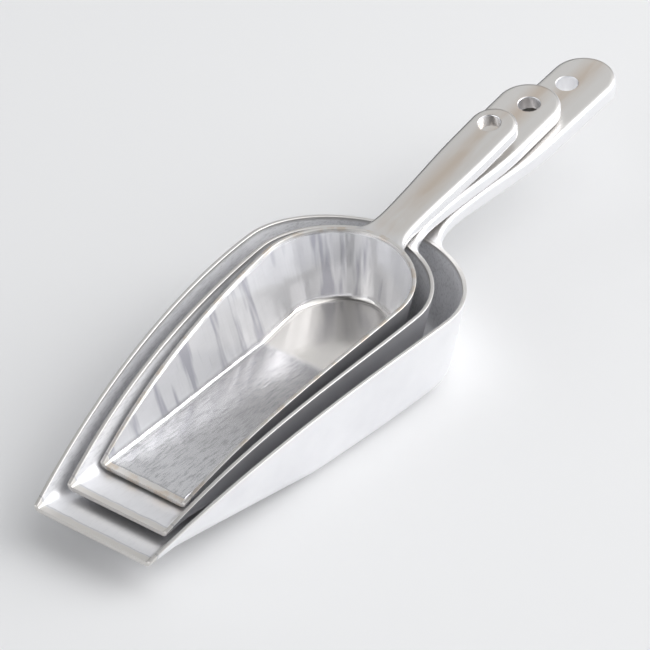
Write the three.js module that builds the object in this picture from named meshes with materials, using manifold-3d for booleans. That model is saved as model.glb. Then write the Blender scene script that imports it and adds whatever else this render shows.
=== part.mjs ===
// A nested set of three cast aluminium feed scoops: the small one sits in the medium one, and the
// medium one in the large one. Each scoop is one casting: a bowl with a flat base, a ramp that rises
// to a straight lip, leaning walls and a rounded heel, and a flat handle that grows out of the back rim.
// Units are millimetres. +Z is up, the lip points to -Y and the handle to +Y. X = 0 is the middle of
// the large scoop, Y = 0 is the centre of its rounded heel, and Z = 0 is the face that it stands on.

import * as THREE from 'three';
import { mergeVertices } from 'three/addons/utils/BufferGeometryUtils.js';
import Module from 'manifold-3d';

const wasm = await Module();
wasm.setup();

// ---- Sizes shared by the three castings -------------------------------------------------------

const wallThickness = 1.7;        // bowl wall, measured level across the rim
const floorThickness = 1.7;       // base, ramp and lip
const lipCornerRise = 0.9;        // how far the rim still stands above the ramp at the lip corners
const rimSquareness = 1.9;        // 2 is a true ellipse round the heel, less is slightly leaner
const handleEdgeRound = 1.6;      // rounding of the handle's long edges
const hangHoleDiameter = 9;

// ---- The three castings -----------------------------------------------------------------------
// Heights are above the casting's own base, and reaches are from the centre of its rounded heel.
// A nest says how a casting fits inside the next larger one: its gaps to it, how far its heel centre
// is forward of the outer one's, and how far it is turned. A nested casting's plan comes from these.

const largeScoop = {
  name: 'large_scoop',
  color: 0xc9c9cb,
  roughness: 0.26,
  bowlHalfWidth: 48.2,
  heelDepth: 43.8,
  lipReach: 158.7,
  lipHalfWidth: 27.6,
  lipHeight: 14.5,
  shoulderHeight: 40.8,
  crestHeight: 43.2,
  backHeight: 34.2,
  sideFullness: 1.53,
  foldReach: 69.3,
  sideLean: 8,
  lipLean: 13,
  heelLean: 12,
  floorRadius: 7,
  handle: {
    pitch: 7.6,
    lean: -2.4,
    flareHalfWidth: 22,
    neckReach: 17,
    neckHalfWidth: 7.8,
    bladeReach: 76,
    bladeHalfWidth: 13.8,
    length: 126,
    thickness: 7.4,
    rootThickness: 5,
    holeReach: 106,
    holeOffset: -3.05,
  },
};

const mediumNest = {
  sideGap: 8,
  heelGap: 11.4,
  lipSetback: 15.2,
  lipSideGap: 3.9,
  forward: 5.2,
  lipGap: 2.7,
  handleGap: 0.7,
  baseGap: 0.6,
  turn: 0,
};

const mediumScoop = nestedScoop(largeScoop, mediumNest, {
  name: 'medium_scoop',
  color: 0xcbcbcd,
  roughness: 0.28,
  lipHeight: 16.2,
  shoulderHeight: 40.8,
  crestHeight: 34.6,
  backHeight: 34,
  sideFullness: 1.53,
  foldReach: 45,
  sideLean: 11,
  lipLean: 13,
  heelLean: 12,
  floorRadius: 6.5,
  handle: {
    pitch: 4.8,
    lean: 0.2,
    flareHalfWidth: 17,
    neckReach: 15,
    neckHalfWidth: 8.2,
    bladeReach: 72,
    bladeHalfWidth: 13.5,
    length: 107.2,
    thickness: 6.2,
    rootThickness: 4.6,
    holeReach: 94,
    holeOffset: 0.6,
  },
});

const smallNest = {
  sideGap: 4.1,
  heelGap: 4.5,
  lipSetback: 17,
  lipSideGap: 3.3,
  forward: 1.4,
  lipGap: 0.6,
  handleGap: 1.2,
  baseGap: 0.6,
  turn: -0.5,
};

const smallScoop = nestedScoop(mediumScoop, smallNest, {
  name: 'small_scoop',
  color: 0xc4c3c2,
  roughness: 0.3,
  lipHeight: 14.6,
  shoulderHeight: 34.9,
  crestHeight: 31.8,
  backHeight: 32,
  sideFullness: 1.45,
  foldReach: 20,
  sideLean: 14,
  lipLean: 14,
  heelLean: 10,
  floorRadius: 3.5,
  handle: {
    pitch: 6.9,
    lean: -1.2,
    flareHalfWidth: 13,
    neckReach: 12,
    neckHalfWidth: 8.4,
    bladeReach: 62,
    bladeHalfWidth: 10.1,
    length: 82.8,
    thickness: 6,
    rootThickness: 4.2,
    holeReach: 72.7,
    holeOffset: -1.5,
  },
});

// A casting whose plan is the next larger one's, less its wall and the gaps of the nest.
function nestedScoop(outer, nest, own) {
  return {
    bowlHalfWidth: outer.bowlHalfWidth - wallThickness - nest.sideGap,
    heelDepth: outer.heelDepth - wallThickness - nest.heelGap + nest.forward,
    lipReach: outer.lipReach - nest.lipSetback - nest.forward,
    lipHalfWidth: outer.lipHalfWidth - nest.lipSideGap,
    ...own,
    outer,
    nest,
  };
}

// ---- How finely the curves are divided --------------------------------------------------------

const sideSteps = 12;      // sections from the lip to the widest place, on each side
const heelSteps = 8;       // sections round each half of the heel
const filletSteps = 3;     // facets round the corner between floor and wall
const curveSteps = 6;      // facets along each curve of a handle's outline
const holeSteps = 24;
const seatRounds = 8;      // rounds of the search for a nested scoop's height and tilt
const mergeTolerance = 1e-4;

const radians = THREE.MathUtils.degToRad;

// ---- Outline of a bowl ------------------------------------------------------------------------

// Height of the rim at a place along the scoop: one cubic curve from the lip to the back.
function rimHeight(scoop, y) {
  const s = (y + scoop.lipReach) / (scoop.lipReach + scoop.heelDepth);
  const heights = [
    scoop.lipHeight + lipCornerRise,
    scoop.shoulderHeight,
    scoop.crestHeight,
    scoop.backHeight,
  ];
  const weights = [(1 - s) ** 3, 3 * s * (1 - s) ** 2, 3 * s * s * (1 - s), s ** 3];
  return weights.reduce((sum, weight, k) => sum + weight * heights[k], 0);
}

// Height of the floor's top face: level over the base, then straight up the ramp to the lip.
function floorHeight(scoop, y) {
  const rampShare = Math.max(0, (-y - scoop.foldReach) / (scoop.lipReach - scoop.foldReach));
  return floorThickness + rampShare * (scoop.lipHeight - floorThickness);
}

// A place where the bowl is cut into a section, at a reach between the widest place and the lip. It
// has the point on the floor that the section starts from, the outer rim point and the wall's lean.
function sideStation(scoop, reach) {
  const share = reach / scoop.lipReach;
  const taper = (scoop.bowlHalfWidth - scoop.lipHalfWidth) * share ** scoop.sideFullness;
  return {
    spine: new THREE.Vector2(0, -reach),
    rim: new THREE.Vector2(scoop.bowlHalfWidth - taper, -reach),
    lean: radians(THREE.MathUtils.lerp(scoop.sideLean, scoop.lipLean, share)),
  };
}

// The sections of one half of the bowl, from a lip corner to the middle of the back.
function halfStations(scoop) {
  const stations = [];
  const sideReaches = [];
  for (let k = 0; k < sideSteps; k += 1) {
    sideReaches.push(scoop.lipReach * (1 - k / sideSteps));
  }
  sideReaches.push(scoop.foldReach);
  sideReaches.sort((a, b) => b - a);
  for (const reach of sideReaches) {
    stations.push(sideStation(scoop, reach));
  }
  for (let k = 0; k <= heelSteps; k += 1) {
    const turn = (k / heelSteps) * (Math.PI / 2);
    const across = Math.max(0, Math.cos(turn)) ** (2 / rimSquareness);
    const back = Math.sin(turn) ** (2 / rimSquareness);
    stations.push({
      spine: new THREE.Vector2(0, 0),
      rim: new THREE.Vector2(scoop.bowlHalfWidth * across, scoop.heelDepth * back),
      lean: radians(THREE.MathUtils.lerp(scoop.sideLean, scoop.heelLean, k / heelSteps)),
    });
  }
  return stations;
}

// All sections of a bowl, from the right lip corner round the back to the left lip corner.
function allStations(scoop) {
  const right = halfStations(scoop);
  const mirrored = right.slice(0, -1).reverse().map((station) => ({
    spine: station.spine,
    rim: new THREE.Vector2(-station.rim.x, station.rim.y),
    lean: station.lean,
  }));
  return [...right, ...mirrored];
}

// One section of a bowl's surface: from the middle of the floor, round the corner and up to the rim.
// `inset` moves the rim inwards and `lower` moves the floor down, for the inner and outer faces.
function sectionLine(scoop, station, inset, lower) {
  const across = station.rim.clone().sub(station.spine);
  const rimDistance = across.length() - inset;
  across.normalize();
  const rimZ = rimHeight(scoop, station.rim.y);
  const floorZ = floorHeight(scoop, station.spine.y) - lower;
  const height = rimZ - floorZ;
  const cornerDistance = rimDistance - height * Math.tan(station.lean);
  const bend = Math.PI / 2 - station.lean;
  const wantedRadius = scoop.floorRadius + lower;
  const wallLength = height / Math.cos(station.lean);
  const radius = Math.min(wantedRadius, (0.7 * wallLength) / Math.tan(bend / 2));
  const tangent = radius * Math.tan(bend / 2);
  const place = (distance, z) => new THREE.Vector3(
    station.spine.x + across.x * distance,
    station.spine.y + across.y * distance,
    z,
  );
  const line = [place(0, floorZ)];
  for (let k = 0; k <= filletSteps; k += 1) {
    const angle = (bend * k) / filletSteps;
    line.push(place(
      cornerDistance - tangent + radius * Math.sin(angle),
      floorZ + radius * (1 - Math.cos(angle)),
    ));
  }
  line.push(place(rimDistance, rimZ));
  return line;
}

// ---- Closed bodies from sections --------------------------------------------------------------

// Collects triangles on shared vertices, and leaves out the ones that shrink to a line.
class SurfaceBuilder {
  constructor() {
    this.positions = [];
    this.indices = [];
    this.known = new Map();
  }

  vertex(point) {
    const key = [point.x, point.y, point.z].map((v) => Math.round(v / mergeTolerance)).join(' ');
    if (!this.known.has(key)) {
      this.known.set(key, this.positions.length / 3);
      this.positions.push(point.x, point.y, point.z);
    }
    return this.known.get(key);
  }

  triangle(a, b, c) {
    const corners = [a, b, c].map((point) => this.vertex(point));
    if (new Set(corners).size === 3) {
      this.indices.push(...corners);
    }
  }

  quad(a, b, c, d) {
    this.triangle(a, b, c);
    this.triangle(a, c, d);
  }

  geometry() {
    const geometry = new THREE.BufferGeometry();
    geometry.setAttribute('position', new THREE.Float32BufferAttribute(this.positions, 3));
    geometry.setIndex(this.indices);
    return geometry;
  }
}

// Skins a row of section loops that all start and end on the scoop's middle plane.
function skin(builder, rows) {
  for (let i = 0; i + 1 < rows.length; i += 1) {
    for (let j = 0; j + 1 < rows[i].length; j += 1) {
      builder.quad(rows[i][j], rows[i + 1][j], rows[i + 1][j + 1], rows[i][j + 1]);
    }
  }
}

function bowlGeometry(scoop) {
  const stations = allStations(scoop);
  const outer = stations.map((station) => sectionLine(scoop, station, 0, floorThickness));
  const inner = stations.map((station) => sectionLine(scoop, station, wallThickness, 0));
  const builder = new SurfaceBuilder();
  skin(builder, outer.map((line, i) => [...line, ...inner[i].slice().reverse()]));
  const last = outer.length - 1;
  for (let j = 0; j + 1 < outer[0].length; j += 1) {
    builder.quad(outer[0][j], outer[0][j + 1], inner[0][j + 1], inner[0][j]);
    builder.quad(outer[last][j], inner[last][j], inner[last][j + 1], outer[last][j + 1]);
  }
  return builder.geometry();
}

// The room inside a bowl, carried up past the handle's root, to trim what reaches into it.
function cavityGeometry(scoop) {
  const headroom = scoop.handle.thickness;
  const rows = allStations(scoop).map((station) => {
    const line = sectionLine(scoop, station, wallThickness, 0);
    const top = line[line.length - 1].z + headroom;
    const rim = line[line.length - 1];
    return [
      ...line,
      new THREE.Vector3(rim.x, rim.y, top),
      new THREE.Vector3(line[0].x, line[0].y, top),
    ];
  });
  const builder = new SurfaceBuilder();
  skin(builder, rows);
  const first = rows[0];
  const last = rows[rows.length - 1];
  for (let j = 0; j + 1 < first.length; j += 1) {
    builder.triangle(first[first.length - 1], first[j], first[j + 1]);
    builder.triangle(last[last.length - 1], last[j + 1], last[j]);
  }
  return builder.geometry();
}

// ---- Handle -----------------------------------------------------------------------------------

// Plan of a handle: +Y runs out along the handle from the back of the rim.
function handleOutline(handle, innerReach, flareReach) {
  const endCentre = handle.length - handle.bladeHalfWidth;
  const shape = new THREE.Shape();
  shape.moveTo(handle.flareHalfWidth, -innerReach);
  shape.lineTo(handle.flareHalfWidth, -flareReach);
  shape.quadraticCurveTo(handle.neckHalfWidth, 0, handle.neckHalfWidth, handle.neckReach);
  shape.bezierCurveTo(
    handle.neckHalfWidth + 0.1 * (handle.bladeHalfWidth - handle.neckHalfWidth),
    handle.neckReach + 0.4 * (handle.bladeReach - handle.neckReach),
    handle.bladeHalfWidth,
    handle.neckReach + 0.6 * (handle.bladeReach - handle.neckReach),
    handle.bladeHalfWidth,
    handle.bladeReach,
  );
  shape.absarc(0, endCentre, handle.bladeHalfWidth, 0, Math.PI, false);
  shape.lineTo(-handle.bladeHalfWidth, handle.bladeReach);
  shape.bezierCurveTo(
    -handle.bladeHalfWidth,
    handle.neckReach + 0.6 * (handle.bladeReach - handle.neckReach),
    -handle.neckHalfWidth - 0.1 * (handle.bladeHalfWidth - handle.neckHalfWidth),
    handle.neckReach + 0.4 * (handle.bladeReach - handle.neckReach),
    -handle.neckHalfWidth,
    handle.neckReach,
  );
  shape.quadraticCurveTo(-handle.neckHalfWidth, 0, -handle.flareHalfWidth, -flareReach);
  shape.lineTo(-handle.flareHalfWidth, -innerReach);
  shape.closePath();
  return shape;
}

function placeHandlePiece(geometry, scoop) {
  geometry.rotateX(radians(scoop.handle.pitch));
  geometry.rotateZ(radians(scoop.handle.lean));
  geometry.translate(0, scoop.heelDepth, scoop.backHeight);
  return geometry;
}

function handleGeometry(scoop) {
  const { handle } = scoop;
  const share = Math.min(1, handle.flareHalfWidth / scoop.bowlHalfWidth);
  const rimDrop = 1 - (1 - share ** rimSquareness) ** (1 / rimSquareness);
  const flareReach = scoop.heelDepth * rimDrop + wallThickness / 2;
  const innerReach = flareReach + handle.thickness;
  const geometry = new THREE.ExtrudeGeometry(handleOutline(handle, innerReach, flareReach), {
    depth: handle.thickness - 2 * handleEdgeRound,
    curveSegments: curveSteps,
    bevelEnabled: true,
    bevelThickness: handleEdgeRound,
    bevelSize: handleEdgeRound,
    bevelOffset: -handleEdgeRound,
    bevelSegments: 2,
  });
  geometry.translate(0, 0, handleEdgeRound - handle.thickness);
  return placeHandlePiece(geometry, scoop);
}

// The wedge that thins the handle's underside towards the rim.
function rootReliefGeometry(scoop) {
  const { handle } = scoop;
  const run = 2 * handle.neckReach;
  const halfWidth = 2 * handle.flareHalfWidth;
  const side = new THREE.Shape();
  side.moveTo(-run, -2 * handle.thickness);
  side.lineTo(run, -2 * handle.thickness);
  side.lineTo(run, -handle.thickness);
  side.lineTo(0, -handle.rootThickness);
  side.lineTo(-run, -handle.rootThickness);
  side.closePath();
  const geometry = new THREE.ExtrudeGeometry(side, { depth: 2 * halfWidth, bevelEnabled: false });
  geometry.rotateX(Math.PI / 2);
  geometry.rotateZ(Math.PI / 2);
  geometry.translate(-halfWidth, 0, 0);
  return placeHandlePiece(geometry, scoop);
}

function hangHoleGeometry(scoop) {
  const { handle } = scoop;
  const circle = new THREE.Shape();
  circle.absarc(handle.holeOffset, handle.holeReach, hangHoleDiameter / 2, 0, 2 * Math.PI, false);
  const geometry = new THREE.ExtrudeGeometry(circle, {
    depth: 3 * handle.thickness,
    curveSegments: holeSteps,
    bevelEnabled: false,
  });
  geometry.translate(0, 0, -2 * handle.thickness);
  return placeHandlePiece(geometry, scoop);
}

// ---- Seat of a nested scoop -------------------------------------------------------------------
// A nested scoop is carried at two places: its lip's underside over the outer scoop's ramp, and its
// handle's underside over the outer scoop's handle. Its height and tilt leave the named gap at each,
// and its base stays clear of the outer scoop's floor.

// Height of the outer scoop's inner face at a point between its lip and its widest place.
function insideHeight(scoop, x, y) {
  const line = sectionLine(scoop, sideStation(scoop, -y), wallThickness, 0);
  const distance = Math.abs(x);
  const next = Math.max(1, line.findIndex((point) => point.x >= distance));
  const [low, high] = [line[next - 1], line[next]];
  return THREE.MathUtils.mapLinear(distance, low.x, high.x, low.z, high.z);
}

function handleTop(scoop, y) {
  return scoop.backHeight + (y - scoop.heelDepth) * Math.tan(radians(scoop.handle.pitch));
}

// A point on the handle's underside, at a reach along the handle from the back rim.
function handleUnderside(scoop, reach) {
  const { handle } = scoop;
  const share = THREE.MathUtils.clamp(reach / (2 * handle.neckReach), 0, 1);
  const point = new THREE.Vector3(
    0,
    reach,
    -THREE.MathUtils.lerp(handle.rootThickness, handle.thickness, share),
  );
  point.applyAxisAngle(new THREE.Vector3(1, 0, 0), radians(handle.pitch));
  return point.add(new THREE.Vector3(0, scoop.heelDepth, scoop.backHeight));
}

// How far the inner scoop still has to rise at its tightest point, and where that point is.
function tightest(points, place, heightBelow, gap) {
  return points
    .map((point) => point.clone().applyMatrix4(place))
    .map((point) => ({ y: point.y, lift: heightBelow(point) + gap - point.z }))
    .reduce((worst, next) => (next.lift > worst.lift ? next : worst));
}

function seatPlace(scoop, height, tilt) {
  const turn = new THREE.Euler(tilt, 0, radians(scoop.nest.turn), 'ZXY');
  const place = new THREE.Matrix4().makeRotationFromEuler(turn);
  return place.setPosition(0, -scoop.nest.forward, height);
}

function nestedSeat(scoop) {
  const { outer, nest, handle } = scoop;
  const rightLip = sectionLine(scoop, sideStation(scoop, scoop.lipReach), 0, floorThickness);
  const leftLip = rightLip.map((point) => new THREE.Vector3(-point.x, point.y, point.z));
  const lip = [...rightLip, ...leftLip];
  const overRim = outer.heelDepth + nest.forward - scoop.heelDepth;
  const grip = [overRim, 2 * handle.neckReach, handle.length]
    .map((reach) => handleUnderside(scoop, reach));
  const base = [
    new THREE.Vector3(0, -scoop.foldReach, 0),
    new THREE.Vector3(0, scoop.heelDepth, 0),
  ];
  let height = 0;
  let tilt = 0;
  for (let k = 0; k < seatRounds; k += 1) {
    const place = seatPlace(scoop, height, tilt);
    const front = tightest(lip, place, (p) => insideHeight(outer, p.x, p.y), nest.lipGap);
    const back = tightest(grip, place, (p) => handleTop(outer, p.y), nest.handleGap);
    const turn = (back.lift - front.lift) / (back.y - front.y);
    height += front.lift - (front.y + nest.forward) * turn;
    tilt += turn;
  }
  const place = seatPlace(scoop, height, tilt);
  const { lift } = tightest(base, place, (p) => floorHeight(outer, p.y), nest.baseGap);
  return seatPlace(scoop, height + Math.max(0, lift), tilt);
}

// ---- Joining and cutting ----------------------------------------------------------------------

function toSolid(geometry) {
  const bare = geometry.clone();
  bare.deleteAttribute('normal');
  bare.deleteAttribute('uv');
  const merged = mergeVertices(bare, mergeTolerance);
  return new wasm.Manifold(new wasm.Mesh({
    numProp: 3,
    vertProperties: new Float32Array(merged.attributes.position.array),
    triVerts: new Uint32Array(merged.index.array),
  }));
}

function toGeometry(solid) {
  const mesh = solid.getMesh();
  const geometry = new THREE.BufferGeometry();
  geometry.setAttribute('position', new THREE.BufferAttribute(mesh.vertProperties.slice(), 3));
  geometry.setIndex(new THREE.BufferAttribute(mesh.triVerts.slice(), 1));
  geometry.computeVertexNormals();
  return geometry;
}

function scoopMesh(scoop) {
  const handle = toSolid(handleGeometry(scoop))
    .subtract(toSolid(rootReliefGeometry(scoop)))
    .subtract(toSolid(hangHoleGeometry(scoop)))
    .subtract(toSolid(cavityGeometry(scoop)));
  const casting = toSolid(bowlGeometry(scoop)).add(handle);
  const mesh = new THREE.Mesh(toGeometry(casting), new THREE.MeshStandardMaterial({
    color: scoop.color,
    roughness: scoop.roughness,
    metalness: 1,
  }));
  mesh.name = scoop.name;
  return mesh;
}

// Each scoop's group stands in the group of the scoop that it is nested in.
const scoopSet = new THREE.Group();
let holder = scoopSet;
for (const scoop of [largeScoop, mediumScoop, smallScoop]) {
  const group = new THREE.Group();
  group.add(scoopMesh(scoop));
  if (scoop.nest) {
    nestedSeat(scoop).decompose(group.position, group.quaternion, group.scale);
  }
  holder.add(group);
  holder = group;
}

export default scoopSet;
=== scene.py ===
# Looks of a nested set of three cast aluminium feed scoops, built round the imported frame.
import math

import bmesh
import bpy
from mathutils import Euler, Matrix, Vector


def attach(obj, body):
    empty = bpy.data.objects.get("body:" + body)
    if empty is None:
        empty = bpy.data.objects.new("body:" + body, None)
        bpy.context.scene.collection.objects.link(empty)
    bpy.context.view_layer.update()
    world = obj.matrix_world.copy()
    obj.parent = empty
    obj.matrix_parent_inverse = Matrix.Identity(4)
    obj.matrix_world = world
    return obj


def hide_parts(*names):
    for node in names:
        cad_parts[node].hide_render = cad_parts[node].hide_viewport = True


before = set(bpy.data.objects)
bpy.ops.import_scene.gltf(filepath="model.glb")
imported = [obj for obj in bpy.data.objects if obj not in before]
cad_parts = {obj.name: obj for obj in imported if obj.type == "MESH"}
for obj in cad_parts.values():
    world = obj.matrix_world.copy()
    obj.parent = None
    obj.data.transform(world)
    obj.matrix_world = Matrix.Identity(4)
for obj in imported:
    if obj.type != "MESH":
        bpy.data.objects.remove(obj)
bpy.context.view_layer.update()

bl_info = {
    "name": "Nested feed scoops",
    "version": (1, 0, 0),
    "blender": (4, 5, 0),
    "location": "View3D > Sidebar > Scoops",
    "description": "Models three nested cast scoops, their metal and a small studio",
    "category": "Add Mesh",
}

MM = 0.001

# ---- Sizes -----------------------------------------------------------------------------------
# The three tables below are in millimetres and degrees. The property groups hold metres and radians.
# Reaches run from the centre of a scoop's rounded heel, heights from its base, and a handle's own
# reaches from the back of the rim.

LENGTH_FIELDS = {
    "bowl_half_width": "Half the width over the rim at the widest place",
    "heel_depth": "From the heel's centre to the back of the rim",
    "lip_reach": "From the heel's centre to the lip",
    "lip_half_width": "Half the width of the lip",
    "lip_height": "Top of the ramp at the lip",
    "shoulder_height": "First pull of the rim's curve, behind the lip",
    "crest_height": "Second pull of the rim's curve, at the widest place",
    "back_height": "Rim at the back, where the handle grows out",
    "fold_reach": "From the heel's centre to the fold between base and ramp",
    "floor_radius": "Rounding between floor and wall",
    "flare_half_width": "Half the width of the handle's root on the rim",
    "neck_reach": "From the rim to the handle's narrowest place",
    "neck_half_width": "Half the handle's narrowest width",
    "blade_reach": "From the rim to the handle's full width",
    "blade_half_width": "Half the handle's full width",
    "handle_length": "From the rim to the handle's tip",
    "handle_thickness": "Thickness of the handle",
    "root_thickness": "Thickness of the handle where it leaves the rim",
    "hole_reach": "From the rim to the hanging hole",
    "hole_offset": "How far the hole is off the handle's middle",
    "seat_forward": "How far the heel's centre is forward of the outer scoop's",
    "seat_height": "How high the base stands above the outer scoop's",
}
ANGLE_FIELDS = {
    "side_lean": "Lean of the wall at the widest place",
    "lip_lean": "Lean of the wall at the lip",
    "heel_lean": "Lean of the wall at the back",
    "handle_pitch": "Rise of the handle",
    "handle_lean": "Sideways lean of the handle",
    "seat_tilt": "How far the handle end is raised in the outer scoop, lip down",
    "seat_turn": "How far the scoop is turned in the outer one",
}

LARGE = {
    "bowl_half_width": 48.2, "heel_depth": 43.8, "lip_reach": 158.7, "lip_half_width": 27.6,
    "lip_height": 14.5, "shoulder_height": 40.8, "crest_height": 43.2, "back_height": 34.2,
    "fold_reach": 69.3, "floor_radius": 7.0, "side_fullness": 1.53,
    "side_lean": 8.0, "lip_lean": 13.0, "heel_lean": 12.0,
    "flare_half_width": 22.0, "neck_reach": 17.0, "neck_half_width": 7.8,
    "blade_reach": 76.0, "blade_half_width": 13.8, "handle_length": 126.0,
    "handle_thickness": 7.4, "root_thickness": 5.0, "handle_pitch": 7.6, "handle_lean": -2.4,
    "hole_reach": 106.0, "hole_offset": -3.05,
    "seat_forward": 0.0, "seat_height": 0.0, "seat_tilt": 0.0, "seat_turn": 0.0,
}
MEDIUM = {
    "bowl_half_width": 38.5, "heel_depth": 35.9, "lip_reach": 138.3, "lip_half_width": 23.7,
    "lip_height": 16.2, "shoulder_height": 40.8, "crest_height": 34.6, "back_height": 34.0,
    "fold_reach": 45.0, "floor_radius": 6.5, "side_fullness": 1.53,
    "side_lean": 11.0, "lip_lean": 13.0, "heel_lean": 12.0,
    "flare_half_width": 17.0, "neck_reach": 15.0, "neck_half_width": 8.2,
    "blade_reach": 72.0, "blade_half_width": 13.5, "handle_length": 107.2,
    "handle_thickness": 6.2, "root_thickness": 4.6, "handle_pitch": 4.8, "handle_lean": 0.2,
    "hole_reach": 94.0, "hole_offset": 0.6,
    "seat_forward": 5.2, "seat_height": 5.470, "seat_tilt": 2.021, "seat_turn": 0.0,
}
SMALL = {
    "bowl_half_width": 32.7, "heel_depth": 31.1, "lip_reach": 119.9, "lip_half_width": 20.4,
    "lip_height": 14.6, "shoulder_height": 34.9, "crest_height": 31.8, "back_height": 32.0,
    "fold_reach": 20.0, "floor_radius": 3.5, "side_fullness": 1.45,
    "side_lean": 14.0, "lip_lean": 14.0, "heel_lean": 10.0,
    "flare_half_width": 13.0, "neck_reach": 12.0, "neck_half_width": 8.4,
    "blade_reach": 62.0, "blade_half_width": 10.1, "handle_length": 82.8,
    "handle_thickness": 6.0, "root_thickness": 4.2, "handle_pitch": 6.9, "handle_lean": -1.2,
    "hole_reach": 72.7, "hole_offset": -1.5,
    "seat_forward": 1.4, "seat_height": 5.82, "seat_tilt": 1.982, "seat_turn": -0.5,
}


def length(name, words, default):
    """A size in metres, whose default is given in millimetres."""
    return bpy.props.FloatProperty(
        name=name, description=words, default=default * MM, precision=5, unit="LENGTH")


def angle(name, words, default):
    """An angle, whose default is given in degrees."""
    return bpy.props.FloatProperty(
        name=name, description=words, default=math.radians(default), subtype="ANGLE")


def colour(name, words, default):
    """A colour, given as linear red, green and blue."""
    return bpy.props.FloatVectorProperty(
        name=name, description=words, subtype="COLOR", size=3, default=default, min=0.0, max=1.0)


def scoop_sizes(class_name, sizes):
    """Makes the property group that holds one scoop's sizes, with that scoop's defaults."""
    fields = {}
    for field, words in LENGTH_FIELDS.items():
        fields[field] = length(field.replace("_", " ").capitalize(), words, sizes[field])
    for field, words in ANGLE_FIELDS.items():
        fields[field] = angle(field.replace("_", " ").capitalize(), words, sizes[field])
    fields["side_fullness"] = bpy.props.FloatProperty(
        name="Side fullness", description="How long the sides stay wide before they taper to the lip",
        default=sizes["side_fullness"], min=1.0)
    return type(class_name, (bpy.types.PropertyGroup,), {"__annotations__": fields})


LargeScoopSizes = scoop_sizes("LargeScoopSizes", LARGE)
MediumScoopSizes = scoop_sizes("MediumScoopSizes", MEDIUM)
SmallScoopSizes = scoop_sizes("SmallScoopSizes", SMALL)


class CastingSizes(bpy.types.PropertyGroup):
    """Sizes that the three castings share."""

    wall: length("Wall", "Bowl wall, measured level across the rim", 1.7)
    floor: length("Floor", "Thickness of base, ramp and lip", 1.7)
    lip_corner_rise: length(
        "Lip corner rise", "How far the rim still stands above the ramp at the lip", 0.9)
    rim_squareness: bpy.props.FloatProperty(
        name="Rim squareness", description="2 is a true ellipse round the heel", default=1.9)
    rim_round: length("Rim rounding", "Rounding of the rim's and the lip's edges", 0.4)
    fold_round: length("Fold rounding", "How far the fold's curve reaches to each side", 2.2)
    handle_round: length("Handle rounding", "Rounding of the handle's long edges", 1.6)
    hole: length("Hanging hole", "Diameter of the hole in each handle", 9)
    hole_round: length("Hole rounding", "Rounding of the hole's edges", 0.5)


class MetalColours(bpy.types.PropertyGroup):
    """Colours of the cast metal, with painted reflections and painted shade among them."""

    bright: colour("Bright metal", "Rubbed aluminium", (0.96, 0.96, 0.975))
    dull: colour("Dull metal", "Aluminium with a thin film of oxide", (0.89, 0.89, 0.91))
    handle: colour("Handle metal", "Aluminium dulled by hands", (0.76, 0.74, 0.71))
    stain: colour("Handling stain", "Brownish film left by hands on the handles", (0.66, 0.58, 0.50))
    # Painted reflection: darker upright bands painted into the inner walls, standing for the light
    # and dark bands that the walls mirror.
    painted_reflection_band: colour("Wall bands", "Darker upright bands in the walls", (0.56, 0.56, 0.61))
    worn: colour("Worn floor", "Scratched grey of the small scoop's floor", (0.44, 0.43, 0.43))
    # Painted reflection: a warm grey painted on the small scoop's level floor, standing for the back
    # wall that the floor mirrors.
    heel: colour("Heel floor", "Warm film on the level floor of the small scoop", (0.76, 0.73, 0.69))
    # scored is dirt in the scratches, and also painted shade on the outer walls of the medium and
    # small scoops, where they sit in the gaps of the nest. It also darkens a thin line behind the
    # ground lip.
    scored: colour("Scratches", "Dirt in the scratches and on the outer walls", (0.34, 0.34, 0.35))
    ground: colour("Ground lip", "Where the lip was ground by hand", (0.72, 0.70, 0.67))
    tan: colour("Lip stain", "Tan stain on the ground lip", (0.64, 0.56, 0.47))


class StudioSizes(bpy.types.PropertyGroup):
    """Camera and floor."""

    camera_azimuth: angle("Camera azimuth", "0 looks along +Y", 36.68)
    camera_elevation: angle("Camera elevation", "Above the horizon", 37.49)
    camera_place: bpy.props.FloatVectorProperty(
        name="Camera place", description="Where the camera stands", subtype="XYZ", size=3,
        unit="LENGTH", default=(0.7506, -1.0230, 0.9876))
    lens: bpy.props.FloatProperty(
        name="Lens", description="Focal length in millimetres for a 36 mm sensor", default=226.04)
    floor_half_width: length("Floor half width", "Half the side of the floor", 6000)
    floor_colour: colour("Floor colour", "Pale matt paper", (0.80, 0.80, 0.80))


# ---- How finely the castings are divided -----------------------------------------------------

SIDE_STEPS = 44        # sections from the lip to the widest place, on each side
HEEL_STEPS = 26        # sections from the widest place to the handle's root, on each side
ROOT_COLUMNS = 12      # sections from the handle's root to its middle
LIP_STEPS = 3          # sections round the lip's edge
FLOOR_ROWS = 8
FILLET_ROWS = 9
WALL_ROWS = 12
EDGE_ROWS = 3          # rows round each edge of the rim
RIM_ROWS = 2           # rows over the flat of the rim
CORNER_TURNS = (90, 60, 30, 0)       # turns of the rows round a handle's long edge
DRILL_TURNS = (0, 20, 40, 60, 80)    # turns of the rings round a hole's edge
FLARE_RINGS = 16
BLADE_RINGS = 22
STRAIGHT_RINGS = 6
TIP_RINGS = 12
HOLE_STEPS = 64
MERGE_DISTANCE = 1e-6
SMOOTH_ANGLE = math.radians(40)
QUARTER_TURN = math.radians(90)

LEAST_EDGE = 0.02 * MM   # what is left of the rim's rounding at the lip's edge
MOST_FILLET = 0.7        # share of the wall's height that the rounding over the floor may take
MOST_ROOT = 0.8          # share of the wall's height that the handle's root may take
EDGE_FADE = 4            # columns over which the rim's rounding fades into the handle's root
FLARE_CROWDING = 1.3     # crowds the flare's rings towards the rim
UPWARD_START = 0.75      # height of the normal from which a face begins to count as facing up
UPWARD_RUN = 0.2


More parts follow.
